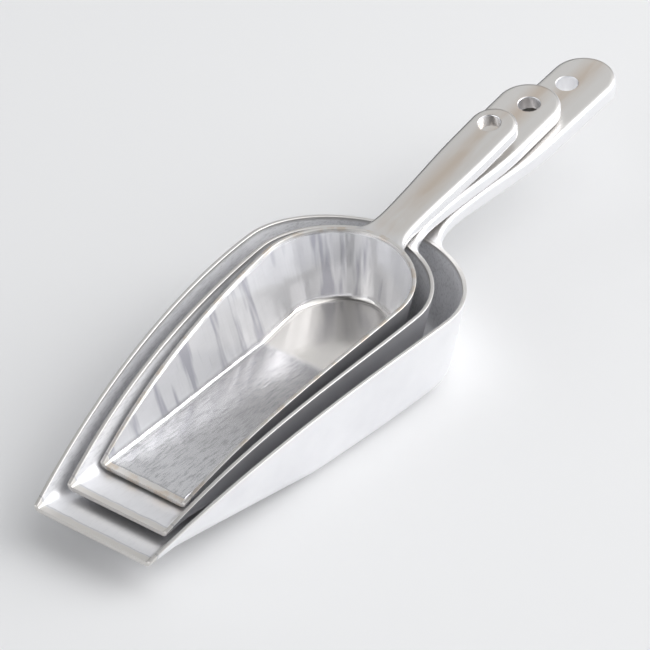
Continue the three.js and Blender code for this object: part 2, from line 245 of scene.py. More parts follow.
def lerp(start, end, share):
    """The value at a share of the way from start to end."""
    return start + (end - start) * share


def smooth_step(share):
    """A share held between 0 and 1 that starts and ends gently."""
    share = min(1.0, max(0.0, share))
    return share * share * (3 - 2 * share)


# ---- Outline of a bowl -----------------------------------------------------------------------

def rim_height(scoop, casting, y):
    """Height of the rim at a place along the scoop: one cubic curve from the lip to the back."""
    s = (y + scoop.lip_reach) / (scoop.lip_reach + scoop.heel_depth)
    heights = (scoop.lip_height + casting.lip_corner_rise, scoop.shoulder_height,
               scoop.crest_height, scoop.back_height)
    weights = ((1 - s) ** 3, 3 * s * (1 - s) ** 2, 3 * s * s * (1 - s), s ** 3)
    return sum(weight * height for weight, height in zip(weights, heights))


def floor_height(scoop, casting, y):
    """Height of the floor's top: level over the base, round the fold, then straight to the lip."""
    slope = (scoop.lip_height - casting.floor) / (scoop.lip_reach - scoop.fold_reach)
    past_fold = -y - scoop.fold_reach
    if past_fold >= casting.fold_round:
        return casting.floor + slope * past_fold
    if past_fold <= -casting.fold_round:
        return casting.floor
    return casting.floor + slope * (past_fold + casting.fold_round) ** 2 / (4 * casting.fold_round)


class Station:
    """A place where the bowl is cut into a section: its start on the floor, its rim and its lean."""

    def __init__(self, start, rim, lean, thinner=0.0, column=None):
        self.start = Vector(start)
        self.rim = Vector(rim)
        self.lean = lean
        self.thinner = thinner     # how far all its faces are drawn in, round the lip's edge
        self.column = column       # columns from the handle's middle, inside the handle's root


def side_reaches(scoop, casting):
    """Reaches of the sections along a side, with close ones round the fold and the lip's edge."""
    reaches = {round(scoop.lip_reach * (1 - k / SIDE_STEPS), 6) for k in range(SIDE_STEPS)}
    fold = {round(scoop.fold_reach + casting.fold_round * k / 3, 6) for k in range(-3, 4)}
    near_fold = {r for r in reaches if abs(r - scoop.fold_reach) < 1.3 * casting.fold_round}
    near_lip = {r for r in reaches if r > scoop.lip_reach - 2 * casting.rim_round}
    return sorted((reaches - near_fold - near_lip) | fold, reverse=True)


def half_stations(scoop, casting):
    """The sections of one half of the bowl, from a lip corner to the middle of the back."""
    stations = []

    def add_side(reach, thinner=0.0):
        share = reach / scoop.lip_reach
        taper = (scoop.bowl_half_width - scoop.lip_half_width) * share ** scoop.side_fullness
        lean = lerp(scoop.side_lean, scoop.lip_lean, share)
        stations.append(Station((0, -reach), (scoop.bowl_half_width - taper, -reach), lean, thinner))

    for k in range(LIP_STEPS + 1):
        turn = QUARTER_TURN * k / LIP_STEPS
        add_side(scoop.lip_reach - casting.rim_round * (1 - math.cos(turn)),
                 casting.rim_round * (1 - math.sin(turn)))
    for reach in side_reaches(scoop, casting):
        add_side(reach)
    power = 2 / casting.rim_squareness
    flare_share = scoop.flare_half_width / scoop.bowl_half_width
    flare_turn = math.acos(flare_share ** (1 / power))
    turns = [flare_turn * k / HEEL_STEPS for k in range(HEEL_STEPS)]
    turns += [lerp(flare_turn, math.pi / 2, k / ROOT_COLUMNS) for k in range(ROOT_COLUMNS + 1)]
    for k, turn in enumerate(turns):
        rim = (scoop.bowl_half_width * max(0.0, math.cos(turn)) ** power,
               scoop.heel_depth * math.sin(turn) ** power)
        lean = lerp(scoop.side_lean, scoop.heel_lean, turn / (math.pi / 2))
        column = HEEL_STEPS + ROOT_COLUMNS - k if k >= HEEL_STEPS else None
        stations.append(Station((0, 0), rim, lean, column=column))
    return stations


def all_stations(scoop, casting):
    """All sections of a bowl, from the right lip corner round the back to the left lip corner."""
    right = half_stations(scoop, casting)
    left = [Station(s.start, (-s.rim.x, s.rim.y), s.lean, s.thinner,
                    None if s.column is None else -s.column) for s in reversed(right[:-1])]
    return right + left


def wall_line(scoop, casting, station, inset, lower):
    """A face's line in one section: its fillet's circle, and the straight wall up to the rim."""
    distance = (station.rim - station.start).length - inset
    rim_z = rim_height(scoop, casting, station.rim.y) - station.thinner
    floor_z = floor_height(scoop, casting, station.start.y) - lower
    height = rim_z - floor_z
    corner = distance - height * math.tan(station.lean)
    bend = math.pi / 2 - station.lean
    longest = MOST_FILLET * height / math.cos(station.lean)
    radius = min(scoop.floor_radius + lower, longest / math.tan(bend / 2))
    tangent = radius * math.tan(bend / 2)
    fillet = [(corner - tangent + radius * math.sin(bend * k / FILLET_ROWS),
               floor_z + radius * (1 - math.cos(bend * k / FILLET_ROWS)))
              for k in range(FILLET_ROWS + 1)]
    return fillet, (distance, rim_z), floor_z


def root_depths(scoop, casting, available):
    """Depths under the rim of the rows that the handle grows out of, from the lowest up."""
    edge = casting.handle_round
    depths = [edge * (1 - math.cos(math.radians(turn))) for turn in reversed(CORNER_TURNS)]
    depths += [scoop.root_thickness - depth for depth in reversed(depths)]
    share = min(1.0, MOST_ROOT * available / scoop.root_thickness)
    return [depth * share for depth in reversed(depths)]


def section_points(scoop, casting, station):
    """Points of one section as (distance, z): up the outer face, over the rim, down the inner face.
    The rows of the handle's root come last on the outer wall."""
    thin = station.thinner
    outer, outer_rim, base_z = wall_line(scoop, casting, station, thin, casting.floor - thin)
    inner, inner_rim, floor_z = wall_line(scoop, casting, station, casting.wall - thin, -thin)
    points = [(outer[0][0] * k / FLOOR_ROWS, base_z) for k in range(FLOOR_ROWS)]
    points += outer
    edge = max(LEAST_EDGE, casting.rim_round - thin)
    lean = math.tan(station.lean)
    wall_top = (outer_rim[0] - edge * lean, outer_rim[1] - edge)
    depths = root_depths(scoop, casting, wall_top[1] - outer[-1][1])
    lowest = (wall_top[0] - depths[0] * lean, wall_top[1] - depths[0])
    for k in range(1, WALL_ROWS):
        share = k / WALL_ROWS
        points.append((lerp(outer[-1][0], lowest[0], share), lerp(outer[-1][1], lowest[1], share)))
    points += [(wall_top[0] - depth * lean, wall_top[1] - depth) for depth in depths]
    keep = 1.0
    if station.column is not None:
        keep = smooth_step((abs(station.column) - ROOT_COLUMNS + EDGE_FADE) / EDGE_FADE)
    rim_z = outer_rim[1]
    if keep < 1.0:
        raised = (1 - keep) * edge
        points[-1] = (lerp(wall_top[0], outer_rim[0], 1 - keep), wall_top[1] + raised)
    for k in range(1, EDGE_ROWS + 1):
        turn = QUARTER_TURN * k / EDGE_ROWS
        drop = edge * (1 - math.sin(turn)) * keep
        points.append((outer_rim[0] - edge * (1 - math.cos(turn)), rim_z - drop))
    flat_start = outer_rim[0] - edge
    flat_end = inner_rim[0] + edge
    for k in range(1, RIM_ROWS + 1):
        points.append((lerp(flat_start, flat_end, k / RIM_ROWS), rim_z))
    for k in range(1, EDGE_ROWS + 1):
        turn = QUARTER_TURN * k / EDGE_ROWS
        points.append((flat_end - edge * math.sin(turn), rim_z - edge * (1 - math.cos(turn))))
    inner_top = points[-1]
    rows = WALL_ROWS + len(depths)
    for k in range(1, rows):
        share = k / rows
        points.append((lerp(inner_top[0], inner[-1][0], share),
                       lerp(inner_top[1], inner[-1][1], share)))
    points += reversed(inner)
    points += [(inner[0][0] * (1 - k / FLOOR_ROWS), floor_z) for k in range(1, FLOOR_ROWS + 1)]
    return points


ROOT_ROWS = 2 * len(CORNER_TURNS)
ROOT_START = FLOOR_ROWS + FILLET_ROWS + WALL_ROWS


# ---- Modelling tools -------------------------------------------------------------------------

def select_only(obj):
    """Makes an object the only one that is selected, and the active one."""
    bpy.ops.object.select_all(action="DESELECT")
    obj.select_set(True)
    bpy.context.view_layer.objects.active = obj


def apply_modifier(obj, kind, **settings):
    """Adds a modifier to an object, and applies it."""
    select_only(obj)
    bpy.ops.object.modifier_add(type=kind)
    modifier = obj.modifiers[-1]
    for name, value in settings.items():
        setattr(modifier, name, value)
    bpy.ops.object.modifier_apply(modifier=modifier.name)


def bowl_sheet(name, scoop, casting):
    """A grid shaped into the bowl: sections across it, and each section's points along it."""
    stations = all_stations(scoop, casting)
    sections = [section_points(scoop, casting, station) for station in stations]
    last_station = len(stations) - 1
    last_row = len(sections[0]) - 1
    bpy.ops.object.select_all(action="DESELECT")
    bpy.ops.mesh.primitive_grid_add(x_subdivisions=last_station, y_subdivisions=last_row, size=2)
    obj = bpy.context.object
    obj.name = name
    mesh = obj.data
    mesh.name = name
    stations_of = mesh.attributes.new("station", "INT", "POINT").data
    rows_of = mesh.attributes.new("row", "INT", "POINT").data
    for vertex in mesh.vertices:
        i = round((vertex.co.x + 1) / 2 * last_station)
        j = round((vertex.co.y + 1) / 2 * last_row)
        station = stations[i]
        distance, z = sections[i][j]
        flat = station.start + (station.rim - station.start).normalized() * distance
        vertex.co = (flat.x, flat.y, z)
        stations_of[vertex.index].value = i
        rows_of[vertex.index].value = j
    return obj, stations, sections


def close_bowl(obj):
    """Joins the two halves along the middle of the floor, and closes the lip's end."""
    select_only(obj)
    bpy.ops.object.mode_set(mode="EDIT")
    bpy.ops.mesh.select_all(action="SELECT")
    bpy.ops.mesh.remove_doubles(threshold=MERGE_DISTANCE)
    bpy.ops.mesh.select_all(action="DESELECT")
    bpy.ops.mesh.select_mode(type="EDGE")
    bpy.ops.mesh.select_non_manifold(extend=False)
    bpy.ops.mesh.fill()
    bpy.ops.mesh.select_all(action="SELECT")
    bpy.ops.mesh.normals_make_consistent(inside=False)
    bpy.ops.object.mode_set(mode="OBJECT")


# ---- Handle ----------------------------------------------------------------------------------

class Ring:
    """One cross-section of the handle: half its width, its place, and how far the tip has turned."""

    def __init__(self, half_width, reach, flare=1.0, tip=0.0):
        self.half_width = half_width
        self.reach = reach
        self.flare = flare     # 0 at the rim, 1 from the neck on
        self.tip = tip         # 0 along the handle, 1 on the end of the tip


def bezier(points, share):
    """The place at a share of the way along the curve that the points pull."""
    while len(points) > 1:
        points = [lerp(a, b, share) for a, b in zip(points, points[1:])]
    return points[0]


def handle_rings(scoop, flare_back):
    """The handle's cross-sections, from just outside the rim to the end of the tip."""
    rings = []
    flare = [Vector((scoop.flare_half_width, -flare_back)), Vector((scoop.neck_half_width, 0)),
             Vector((scoop.neck_half_width, scoop.neck_reach))]
    for k in range(1, FLARE_RINGS + 1):
        share = (k / FLARE_RINGS) ** FLARE_CROWDING
        place = bezier(flare, share)
        rings.append(Ring(place.x, place.y, flare=share))
    swell = scoop.blade_half_width - scoop.neck_half_width
    run = scoop.blade_reach - scoop.neck_reach
    blade = [flare[2], Vector((scoop.neck_half_width + 0.1 * swell, scoop.neck_reach + 0.4 * run)),
             Vector((scoop.blade_half_width, scoop.neck_reach + 0.6 * run)),
             Vector((scoop.blade_half_width, scoop.blade_reach))]
    for k in range(1, BLADE_RINGS + 1):
        place = bezier(blade, k / BLADE_RINGS)
        rings.append(Ring(place.x, place.y))
    tip_start = scoop.handle_length - scoop.blade_half_width
    for k in range(1, STRAIGHT_RINGS + 1):
        reach = lerp(scoop.blade_reach, tip_start, k / STRAIGHT_RINGS)
        rings.append(Ring(scoop.blade_half_width, reach))
    for k in range(1, TIP_RINGS + 1):
        rings.append(Ring(scoop.blade_half_width, tip_start, tip=k / TIP_RINGS))
    return rings


def ring_plan(ring, across, inset):
    """Place on the handle's plan, as (sideways, along), of a point at a share of the ring's width."""
    half = ring.half_width - inset
    if ring.tip == 0:
        return across * half, ring.reach
    eighth = math.pi / 4
    turn = eighth * ring.tip
    flat_half = lerp(half, half * math.sin(eighth), ring.tip)
    x = lerp(across * half, half * math.sin(across * eighth), ring.tip)
    x *= half * math.cos(turn) / flat_half
    bulge = ring.tip * half * (math.cos(across * eighth) - math.cos(eighth))
    return x, ring.reach + bulge + half * math.sin(turn)


def handle_section(ring, row, scoop, casting):
    """How far a row is drawn in from the handle's side, and how far it lies under its top."""
    reach_share = min(1.0, max(0.0, ring.reach / (2 * scoop.neck_reach)))
    thickness = lerp(scoop.root_thickness, scoop.handle_thickness, reach_share)
    edge = lerp(casting.rim_round, casting.handle_round, smooth_step(1.5 * ring.flare))
    from_top = ROOT_ROWS - 1 - row
    turn = math.radians(CORNER_TURNS[min(row, from_top)])
    inset = edge * (1 - math.cos(turn))
    drop = edge * (1 - math.sin(turn))
    return inset, drop if from_top < row else thickness - drop


def to_scoop(scoop, x, along, under, lean):
    """Turns a place on the handle into the scoop's own frame."""
    pitched = Vector((x, along * math.cos(scoop.handle_pitch) + under * math.sin(scoop.handle_pitch),
                      along * math.sin(scoop.handle_pitch) - under * math.cos(scoop.handle_pitch)))
    pitched.rotate(Euler((0, 0, lean)))
    return pitched + Vector((0, scoop.heel_depth, scoop.back_height))


def grow_handle(obj, scoop, casting, stations, sections):
    """Extrudes the handle out of the wall under the back of the rim, one cross-section at a time."""
    middle = len(stations) // 2
    top_row = ROOT_START + ROOT_ROWS - 1
    roots = {}
    for column in range(-ROOT_COLUMNS, ROOT_COLUMNS + 1):
        station = stations[middle - column]
        distance, z = sections[middle - column][top_row]
        place = station.start + (station.rim - station.start).normalized() * distance
        roots[column] = (place.x / scoop.flare_half_width, place.y - scoop.heel_depth,
                         z - scoop.back_height)
    flare_back = -roots[ROOT_COLUMNS][1]
    select_only(obj)
    bpy.ops.object.mode_set(mode="EDIT")
    bpy.ops.mesh.select_mode(type="FACE")
    bpy.ops.mesh.select_all(action="DESELECT")
    mesh = bmesh.from_edit_mesh(obj.data)
    station_layer = mesh.verts.layers.int["station"]
    row_layer = mesh.verts.layers.int["row"]
    for face in mesh.faces:
        columns = [vertex[station_layer] - middle for vertex in face.verts]
        rows = [vertex[row_layer] - ROOT_START for vertex in face.verts]
        in_columns = max(map(abs, columns)) <= ROOT_COLUMNS
        face.select_set(in_columns and min(rows) >= 0 and max(rows) < ROOT_ROWS)
    bmesh.update_edit_mesh(obj.data)
    for ring in handle_rings(scoop, flare_back):
        bpy.ops.mesh.extrude_region_move()
        mesh = bmesh.from_edit_mesh(obj.data)
        station_layer = mesh.verts.layers.int["station"]
        row_layer = mesh.verts.layers.int["row"]
        lean = scoop.handle_lean * smooth_step(ring.flare)
        for vertex in mesh.verts:
            if not vertex.select:
                continue
            across, root_y, root_z = roots[middle - vertex[station_layer]]
            inset, under = handle_section(ring, vertex[row_layer] - ROOT_START, scoop, casting)
            x, along = ring_plan(ring, across, inset)
            start = 1 - ring.flare
            along += start * (root_y + flare_back)
            under -= start ** 2 * (root_z - root_y * math.tan(scoop.handle_pitch))
            vertex.co = to_scoop(scoop, x, along, under, lean)
        bmesh.update_edit_mesh(obj.data)
    bpy.ops.object.mode_set(mode="OBJECT")


def rim_lengths(stations):
    """How far each section is round the rim, from the first one."""
    lengths = [0.0]
    for before, after in zip(stations, stations[1:]):
        lengths.append(lengths[-1] + (after.rim - before.rim).length)
    return lengths


MARKS = ("handled", "rim", "inside", "floor", "ramp", "upward", "from_lip", "off_middle", "around")


def mark_surface(obj, scoop, stations, last_row):
    """Writes what the metal needs to know of each point: how much it belongs to the handle, the rim,
    the inside, the floor and the ramp, how much it faces up, and how far it is from the lip, sideways
    from the handle's middle and round the rim."""
    mesh = obj.data
    for name in MARKS:
        mesh.attributes.new(name, "FLOAT", "POINT")
    marks = {name: mesh.attributes[name].data for name in MARKS}
    station_of = mesh.attributes["station"].data
    row_of = mesh.attributes["row"].data
    casting = bpy.context.scene.casting_sizes
    lengths = rim_lengths(stations)
    rim_start = ROOT_START + ROOT_ROWS
    rim_end = rim_start + 2 * EDGE_ROWS + RIM_ROWS
    fillet_start = last_row - FLOOR_ROWS - FILLET_ROWS
    for vertex in mesh.vertices:
        i = vertex.index
        past_rim = vertex.co.y - scoop.heel_depth
        past_fold = -vertex.co.y - scoop.fold_reach
        on_rim = rim_start <= row_of[i].value < rim_end
        marks["handled"][i].value = smooth_step(past_rim / scoop.neck_reach + 0.5)
        marks["rim"][i].value = 1.0 if on_rim else 0.0
        marks["inside"][i].value = 1.0 if row_of[i].value >= rim_end else 0.0
        marks["floor"][i].value = smooth_step((row_of[i].value - fillet_start) / (0.6 * FILLET_ROWS))
        marks["ramp"][i].value = smooth_step(past_fold / (2 * casting.fold_round) + 0.5)
        marks["upward"][i].value = smooth_step((vertex.normal.z - UPWARD_START) / UPWARD_RUN)
        marks["from_lip"][i].value = vertex.co.y + scoop.lip_reach
        marks["off_middle"][i].value = vertex.co.x + past_rim * math.tan(scoop.handle_lean)
        marks["around"][i].value = lengths[min(station_of[i].value, len(lengths) - 1)]


def drill_profile(scoop, casting):
    """The drill's (radius, height) steps. It flares at both faces, and so rounds the hole's edges."""
    radius = casting.hole / 2
    bend = casting.hole_round
    surface = scoop.handle_thickness / 2
    upper = [(radius + bend * (1 - math.cos(turn)), surface - bend * (1 - math.sin(turn)))
             for turn in map(math.radians, DRILL_TURNS)]
    last_radius, last_height = upper[-1]
    slope = math.tan(math.radians(90 - DRILL_TURNS[-1]))
    upper.append((last_radius + bend, last_height + bend * slope))
    upper.append((last_radius + bend, scoop.handle_thickness))
    return [(radius, -height) for radius, height in reversed(upper)] + upper


def drill_hole(obj, scoop, casting):
    """Cuts the hanging hole with a drill that is extruded ring by ring."""
    (radius, lowest), *steps = drill_profile(scoop, casting)
    bpy.ops.object.select_all(action="DESELECT")
    bpy.ops.mesh.primitive_circle_add(
        vertices=HOLE_STEPS, radius=radius, fill_type="NGON", location=(0, 0, 0))
    drill = bpy.context.object
    bpy.ops.object.mode_set(mode="EDIT")
    bpy.ops.mesh.select_mode(type="FACE")
    bpy.ops.mesh.select_all(action="SELECT")
    height = 0
    for next_radius, next_height in steps:
        rise = next_height - lowest - height
        bpy.ops.mesh.extrude_region_move(TRANSFORM_OT_translate={"value": (0, 0, rise)})
        scale = next_radius / radius
        bpy.ops.transform.resize(value=(scale, scale, 1))
        radius = next_radius
        height += rise
    bpy.ops.mesh.select_all(action="SELECT")
    bpy.ops.transform.translate(value=(0, 0, lowest))
    bpy.ops.mesh.normals_make_consistent(inside=False)
    bpy.ops.object.mode_set(mode="OBJECT")
    drill.rotation_euler = (scoop.handle_pitch, 0, scoop.handle_lean)
    drill.location = to_scoop(scoop, scoop.hole_offset, scoop.hole_reach, scoop.handle_thickness / 2,
                              scoop.handle_lean)
    bpy.context.view_layer.update()
    apply_modifier(obj, "BOOLEAN", object=drill, operation="DIFFERENCE", solver="EXACT")
    bpy.data.meshes.remove(drill.data)


def seat(obj, seats):
    """Puts a finished scoop in its place in the nest, with the place kept in its mesh."""
    place = Matrix.Identity(4)
    for scoop in seats:
        turn = Matrix.Rotation(scoop.seat_turn, 4, "Z") @ Matrix.Rotation(scoop.seat_tilt, 4, "X")
        place = place @ Matrix.Translation((0, -scoop.seat_forward, scoop.seat_height)) @ turn
    obj.matrix_world = place
    select_only(obj)
    bpy.ops.object.transform_apply(location=True, rotation=True, scale=True)


def make_scoop(name, seats):
    """Models one casting: the bowl, the handle grown out of it, and the hole."""
    scoop = seats[-1]
    casting = bpy.context.scene.casting_sizes
    obj, stations, sections = bowl_sheet(name, scoop, casting)
    close_bowl(obj)
    grow_handle(obj, scoop, casting, stations, sections)
    drill_hole(obj, scoop, casting)
    mark_surface(obj, scoop, stations, len(sections[0]) - 1)
    select_only(obj)
    bpy.ops.object.shade_smooth_by_angle(angle=SMOOTH_ANGLE)
    apply_modifier(obj, "WEIGHTED_NORMAL", keep_sharp=True, weight=80)
    seat(obj, seats)
    for layer in ("station", "row"):
        obj.data.attributes.remove(obj.data.attributes[layer])
    return obj


# ---- Metal -----------------------------------------------------------------------------------

class NodeMaker:
    """Adds and links the nodes of one material or world."""

    def __init__(self, owner):
        owner.use_nodes = True
        self.tree = owner.node_tree
        self.tree.nodes.clear()

    def add(self, kind, inputs=None, **settings):
        """Adds a node. An input is given a plain value, or the socket that it is linked to."""
        node = self.tree.nodes.new("ShaderNode" + kind)
        for name, value in settings.items():
            setattr(node, name, value)
        for key, value in (inputs or {}).items():
            if isinstance(value, bpy.types.NodeSocket):
                self.tree.links.new(value, node.inputs[key])
            else:
                node.inputs[key].default_value = value
        return node

    def noise(self, vector, stretch, scale, detail, roughness=0.55):
        """A cloud of values, stretched by a scale along each axis."""
        mapping = self.add("Mapping", {"Vector": vector, "Scale": stretch})
        return self.add("TexNoise", {"Vector": mapping.outputs["Vector"], "Scale": scale,
                                     "Detail": detail, "Roughness": roughness}).outputs["Fac"]

    def attribute(self, name):
        """One of the marks that mark_surface left."""
        return self.add("Attribute", attribute_name=name).outputs["Fac"]

    def math(self, operation, first, second=0.0):
        return self.add("Math", {0: first, 1: second}, operation=operation).outputs["Value"]

    def blend(self, share, first, second):
        """Blends two numbers by a share."""
        return self.add("Mix", {0: share, 2: first, 3: second}).outputs[0]

    def spread(self, value, low, high, to_low=0.0, to_high=1.0):
        """Stretches the part of a value between low and high over another range."""
        return self.add("MapRange", {"Value": value, "From Min": low, "From Max": high,
                                     "To Min": to_low, "To Max": to_high}).outputs["Result"]

    def mix(self, share, first, second):
        """Blends two colours, as blend does two numbers."""
        return self.add("Mix", {0: share, 6: first, 7: second}, data_type="RGBA").outputs[2]


def cast_aluminium(name, shine, dulling, wall_metal, wear_and_painted_light, painted_gap_shade):
    """Rubbed and handled cast aluminium. shine is the roughness of its cleanest places, dulling is
    how much more the film adds to it, and wall_metal is how bare the inner walls are.
    wear_and_painted_light is how grey the floor and how stained the lip have become, and also how
    strong two painted reflections are: darker upright bands on the inner walls, and a warm tint on
    the level floor of the small scoop. painted_gap_shade is painted shade, which darkens the outer
    walls where they sit in the gaps of the nest."""
    colours = bpy.context.scene.metal_colours
    material = bpy.data.materials.new(name)
    make = NodeMaker(material)
    place = make.add("TexCoord").outputs["Object"]
    handled = make.attribute("handled")
    upward = make.attribute("upward")
    rim = make.attribute("rim")
    from_lip = make.attribute("from_lip")
    clouds = make.noise(place, (1, 1, 1), 30.0, 3.0)
    blotches = make.noise(place, (1, 1, 1), 160.0, 3.0)
    streaks = make.noise(place, (1, 0.08, 1), 110.0, 3.0)
    scratches = make.noise(place, (1.0, 0.16, 1.0), 1050.0, 3.0, 0.65)
    dents = make.noise(place, (1, 1, 1), 300.0, 2.0)
    height = make.add("SeparateXYZ", {"Vector": place}).outputs["Z"]
    round_rim = make.add("CombineXYZ", {"X": make.attribute("around"), "Y": height}).outputs["Vector"]
    bands = make.noise(round_rim, (1, 0.16, 1), 95.0, 3.0)
    off_handle = make.math("SUBTRACT", 1.0, handled)
    inside = make.attribute("inside")
    on_floor = make.attribute("floor")
    on_wall = make.math("MULTIPLY", inside, make.math("SUBTRACT", 1.0, on_floor))
    outside = make.math("MULTIPLY", off_handle, make.math("SUBTRACT", 1.0, inside))
    on_handle_top = make.math("MULTIPLY", handled, upward)

    film = make.spread(clouds, 0.40, 0.70)
    base = make.mix(film, (*colours.bright, 1), (*colours.dull, 1))
    # Painted reflection: darker upright bands on the inner walls, standing for the light and dark
    # bands that the walls mirror.
    painted_band_share = make.math("MULTIPLY", make.spread(bands, 0.53, 0.61, 0.0, wear_and_painted_light), on_wall)
    base = make.mix(painted_band_share, base, (*colours.painted_reflection_band, 1))
    # The ramp's grey is real scratching. The warm tint on the level floor behind the fold is painted
    # reflection, standing for the back wall that the floor mirrors.
    floor_wear_and_reflection = make.math("MULTIPLY", on_floor, wear_and_painted_light)
    worn_ramp = make.math("MULTIPLY", floor_wear_and_reflection, make.attribute("ramp"))
    painted_heel_reflection = make.math("SUBTRACT", floor_wear_and_reflection, worn_ramp)
    base = make.mix(painted_heel_reflection, base, (*colours.heel, 1))
    greyed = make.math("MULTIPLY", worn_ramp, make.spread(from_lip, 12 * MM, 70 * MM, 0.35, 1.0))
    base = make.mix(greyed, base, (*colours.worn, 1))
    brushed = make.math("MAXIMUM", worn_ramp, make.math("MULTIPLY", on_wall, 0.5 - 0.5 * wear_and_painted_light))
    scored = make.math("MULTIPLY", brushed, make.spread(scratches, 0.48, 0.64, 0.0, 0.6))
    base = make.mix(scored, base, (*colours.scored, 1))
    # Painted shade: the outer walls of the nested scoops are darkened where they sit in the gaps
    # between the scoops.
    base = make.mix(make.math("MULTIPLY", outside, painted_gap_shade), base, (*colours.scored, 1))
    middle = make.math("ABSOLUTE", make.attribute("off_middle"))
    near_middle = make.spread(middle, 0.5 * MM, 7 * MM, 1.0, 0.0)
    brown = make.math("MULTIPLY", near_middle, make.spread(streaks, 0.30, 0.55))
    handle = make.mix(brown, (*colours.handle, 1), (*colours.stain, 1))
    base = make.mix(on_handle_top, base, handle)
    ragged = make.math("MULTIPLY", make.spread(blotches, 0.3, 0.7), 0.7 * MM)
    from_ragged_lip = make.math("ADD", from_lip, ragged)
    ground = make.spread(from_ragged_lip, 3.4 * MM, 4.0 * MM, 1.0, 0.0)
    stained = make.spread(blotches, 0.48, 0.62, 0.0, wear_and_painted_light)
    soiled = make.mix(stained, (*colours.ground, 1), (*colours.tan, 1))
    base = make.mix(make.math("MAXIMUM", ground, make.math("MULTIPLY", rim, 0.85)), base, soiled)
    # A thin darker line along the back edge of the ground lip, in the colour of the scratches.
    border = make.math("ABSOLUTE", make.math("SUBTRACT", from_ragged_lip, 4.1 * MM))
    base = make.mix(make.spread(border, 0.0, 0.6 * MM, 0.5, 0.0), base, (*colours.scored, 1))

    roughness = make.spread(clouds, 0.35, 0.7, shine, shine + dulling)
    roughness = make.blend(outside, roughness, 0.42)
    roughness = make.blend(on_handle_top, roughness, 0.36)
    roughness = make.blend(ground, roughness, 0.45)
    scratched = make.math("MULTIPLY", scratches, make.blend(worn_ramp, 0.3, 2.8))
    fine = make.math("ADD", scratched, make.math("MULTIPLY", dents, 0.6))
    waves = make.math("MULTIPLY", bands, make.math("MULTIPLY", on_wall, 30.0 * wear_and_painted_light))
    bump = make.add("Bump", {"Height": make.math("ADD", fine, waves), "Strength": 1.0,
                             "Distance": 0.02 * MM})
    shader = make.add("BsdfPrincipled", {
        "Base Color": base, "Metallic": make.blend(on_wall, 0.88, wall_metal), "Roughness": roughness,
        "Normal": bump.outputs["Normal"]})
    make.add("OutputMaterial", {"Surface": shader.outputs["BSDF"]})
    return material


def finish_scoop(obj, node, body, material):
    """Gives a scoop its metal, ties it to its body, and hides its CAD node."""
    obj.data.materials.clear()
    obj.data.materials.append(material)
    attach(obj, body)
    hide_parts(node)


# ---- Studio ----------------------------------------------------------------------------------

# Soft boxes, which all look at the middle of the floor: name, place, size and watts.
SOFTBOXES = (
    ("right_softbox", (1.3, 1.2, 1.0), (1.8, 1.8), 28),
    ("top_softbox", (0.5, 0.3, 2.0), (1.2, 1.2), 3),
    ("left_softbox", (-1.9, -0.2, 1.3), (0.5, 1.0), 0.5),
)

# Brightness of the air all round, and soft patches added to it: a direction, the cosines of the angle
# at which the patch starts and is full, and how much brighter it is.
AIR_LEVEL = 0.32
AIR_PATCHES = (
    ((0.72, 0.42, 0.55), 0.35, 0.95, 1.0),
    ((-0.52, -0.80, 0.30), 0.66, 0.96, 1.6),
    ((0.05, -0.50, 0.86), 0.60, 0.95, -0.26),
    ((-0.95, -0.05, 0.30), 0.60, 0.95, -0.15),
    ((-0.35, 0.45, 0.82), 0.80, 0.98, 0.48),
    ((-0.76, 0.64, 0.12), 0.90, 0.98, -0.35),
)
AIR_LEAST = 0.04        # what the metal still sees in the darkest air
AIR_BEHIND = 0.82       # what the camera sees past the floor
AIR_COLOUR = (0.97, 0.98, 1.0, 1)
SENSOR_WIDTH = 36       # millimetres
CLIP_END = 20           # metres, past the far edge of the floor


def add_floor(studio):
    """A wide sheet of matt paper."""
    bpy.ops.object.select_all(action="DESELECT")
    bpy.ops.mesh.primitive_plane_add(size=2 * studio.floor_half_width)
    floor = bpy.context.object
    floor.name = "floor"
    paper = bpy.data.materials.new("pale_paper")
    make = NodeMaker(paper)
    shader = make.add("BsdfPrincipled", {"Base Color": (*studio.floor_colour, 1), "Roughness": 0.9,
                                         "Specular IOR Level": 0.1})
    make.add("OutputMaterial", {"Surface": shader.outputs["BSDF"]})
    floor.data.materials.append(paper)


def add_lights(scene):
    """Soft boxes, and air round them that is bright on the right and dark on the front left."""
    for name, place, size, power in SOFTBOXES:
        data = bpy.data.lights.new(name, "AREA")
        data.shape = "RECTANGLE"
        data.size, data.size_y = size
        data.energy = power
        light = bpy.data.objects.new(name, data)
        light.location = place
        light.rotation_euler = (-Vector(place)).to_track_quat("-Z", "Y").to_euler()
        scene.collection.objects.link(light)
    scene.world = studio_air()
    scene.view_settings.view_transform = "Standard"


